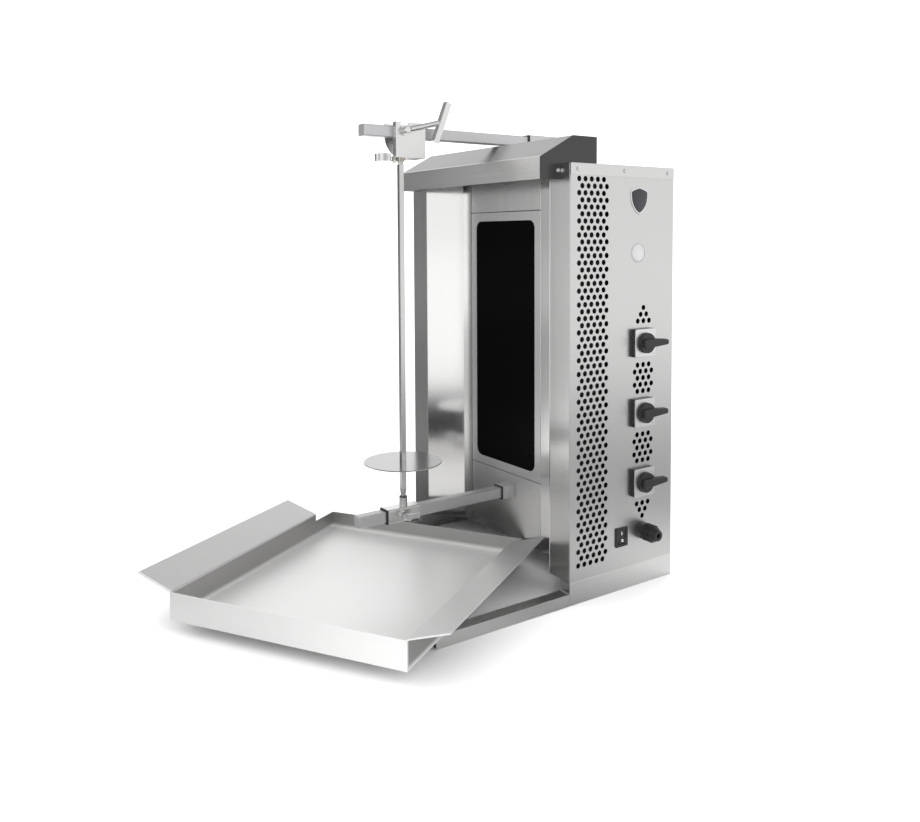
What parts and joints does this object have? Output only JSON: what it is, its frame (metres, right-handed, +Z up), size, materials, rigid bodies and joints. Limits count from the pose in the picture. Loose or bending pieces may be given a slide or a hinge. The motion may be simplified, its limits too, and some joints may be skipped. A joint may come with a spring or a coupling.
{
  "type": "upright electric kebab grill",
  "caption": "Upright open electric grill: recessed glass heater, perforated steel cabinet, sliding arms holding a vertical turning spit with disc, three switch knobs, loose drip tray.",
  "frame": {"origin": "middle of the underside of the rear base crossbar, on the surface the grill stands on", "axes": "+Z up; -Y is the heated side that faces the cook; +X is the side with the switches"},
  "size_m": [0.7673, 0.9622, 0.9612],
  "materials": {
    "brushed_steel_sheet": "satin brushed",
    "bright_steel_sheet": "bright annealed",
    "steel_tube": "satin",
    "steel_fastener": "plated",
    "bush_brass": "turned",
    "black_glass": "polished black glass-ceramic",
    "heater_pan_steel": "aluminised",
    "heater_alloy": "oxidised resistance alloy",
    "mineral_fibre": "pressed fibre board",
    "switch_plate_metal": "satin anodised",
    "black_plastic": "moulded",
    "terminal_ceramic": "moulded"
  },
  "bodies": {
    "cabinet": {"plinth_left": "brushed_steel_sheet", "plinth_right": "brushed_steel_sheet", "rail_left": "brushed_steel_sheet", "rail_right": "brushed_steel_sheet", "rear_crossbar": "brushed_steel_sheet", "bottom_plate": "brushed_steel_sheet", "side_panel_left": "brushed_steel_sheet", "side_panel_right": "brushed_steel_sheet", "rear_panel": "brushed_steel_sheet", "top_cover": "brushed_steel_sheet", "column_left": "brushed_steel_sheet", "column_right": "brushed_steel_sheet", "upper_fascia": "brushed_steel_sheet", "window_frame": "brushed_steel_sheet", "lower_fascia": "brushed_steel_sheet", "hood": "brushed_steel_sheet", "reflector_left": "bright_steel_sheet", "reflector_right": "bright_steel_sheet", "upper_arm": "steel_tube", "lower_arm": "steel_tube", "upper_socket": "steel_tube", "lower_socket": "steel_tube", "arm_end_caps": "steel_tube", "cover_screws": "steel_fastener", "hood_rivets": "steel_fastener", "glass_panel": "black_glass", "heater_tray_upper": "heater_pan_steel", "heater_tray_middle": "heater_pan_steel", "heater_tray_lower": "heater_pan_steel", "heater_carrier": "heater_pan_steel", "heater_coil_upper": "heater_alloy", "heater_coil_middle": "heater_alloy", "heater_coil_lower": "heater_alloy", "heater_insulation": "mineral_fibre", "switch_plates": "switch_plate_metal", "rail_end_caps": "black_plastic", "socket_liners": "black_plastic", "switch_bodies": "black_plastic", "rocker_housing": "black_plastic", "cable_gland": "black_plastic", "gland_nut": "black_plastic", "terminal_block": "terminal_ceramic"},
    "lower_carriage": {"lower_sleeve": "steel_tube", "spit_cup": "steel_tube"},
    "upper_carriage": {"upper_bracket": "steel_tube", "top_bush": "bush_brass", "latch_rivet": "steel_fastener"},
    "spit_shaft": {"spit": "steel_tube"},
    "disc": {"meat_disc": "bright_steel_sheet", "disc_hub": "steel_tube", "disc_screw": "steel_fastener"},
    "clamp": {"clamp_screw": "steel_fastener", "clamp_lever": "steel_tube"},
    "latch": {"spit_latch": "steel_tube"},
    "wing": {"wing_screw": "steel_fastener"},
    "knob_upper": {"knob_upper": "black_plastic"},
    "knob_middle": {"knob_middle": "black_plastic"},
    "knob_lower": {"knob_lower": "black_plastic"},
    "rocker": {"rocker": "black_plastic"},
    "tray": {"tray": "brushed_steel_sheet"}
  },
  "joints": [
    {"name": "lower_carriage_slide", "type": "slide", "parent": "cabinet", "child": "lower_carriage", "axis": [0, 1, 0], "range_m": [-0.05, 0.075]},
    {"name": "upper_carriage_slide", "type": "slide", "parent": "cabinet", "child": "upper_carriage", "axis": [0, 1, 0], "range_m": [-0.05, 0.075]},
    {"name": "spit_turn", "type": "hinge", "parent": "lower_carriage", "child": "spit_shaft", "pos_m": [0, -0.4595, 0.3], "axis": [0, 0, 1], "continuous": true},
    {"name": "disc_height", "type": "slide", "parent": "spit_shaft", "child": "disc", "axis": [0, 0, 1], "range_m": [-0.03, 0.3]},
    {"name": "clamp_turn", "type": "hinge", "parent": "upper_carriage", "child": "clamp", "pos_m": [0.02, -0.463, 0.9007], "axis": [1, 0, 0], "range_deg": [0, 75]},
    {"name": "latch_swing", "type": "hinge", "parent": "upper_carriage", "child": "latch", "pos_m": [0, -0.474, 0.8422], "axis": [0, 0, 1], "range_deg": [-18, 18]},
    {"name": "wing_screw_turn", "type": "hinge", "parent": "lower_carriage", "child": "wing", "pos_m": [0.02, -0.469, 0.145], "axis": [1, 0, 0], "range_deg": [0, 270]},
    {"name": "knob_upper_turn", "type": "hinge", "parent": "cabinet", "child": "knob_upper", "pos_m": [0.29, -0.075, 0.4855], "axis": [1, 0, 0], "range_deg": [-90, 90]},
    {"name": "knob_middle_turn", "type": "hinge", "parent": "cabinet", "child": "knob_middle", "pos_m": [0.29, -0.075, 0.3475], "axis": [1, 0, 0], "range_deg": [-90, 90]},
    {"name": "knob_lower_turn", "type": "hinge", "parent": "cabinet", "child": "knob_lower", "pos_m": [0.29, -0.075, 0.209], "axis": [1, 0, 0], "range_deg": [-90, 90]},
    {"name": "rocker_tilt", "type": "hinge", "parent": "cabinet", "child": "rocker", "pos_m": [0.272, -0.128, 0.106], "axis": [0, 1, 0], "range_deg": [0, 14]},
    {"name": "tray_pull", "type": "slide", "parent": "cabinet", "child": "tray", "axis": [0.5284, -0.849, 0], "range_m": [0, 0.35]}
  ],
  "couplings": [
    {"joint": "upper_carriage_slide", "follows": "lower_carriage_slide", "ratio": 1}
  ]
}
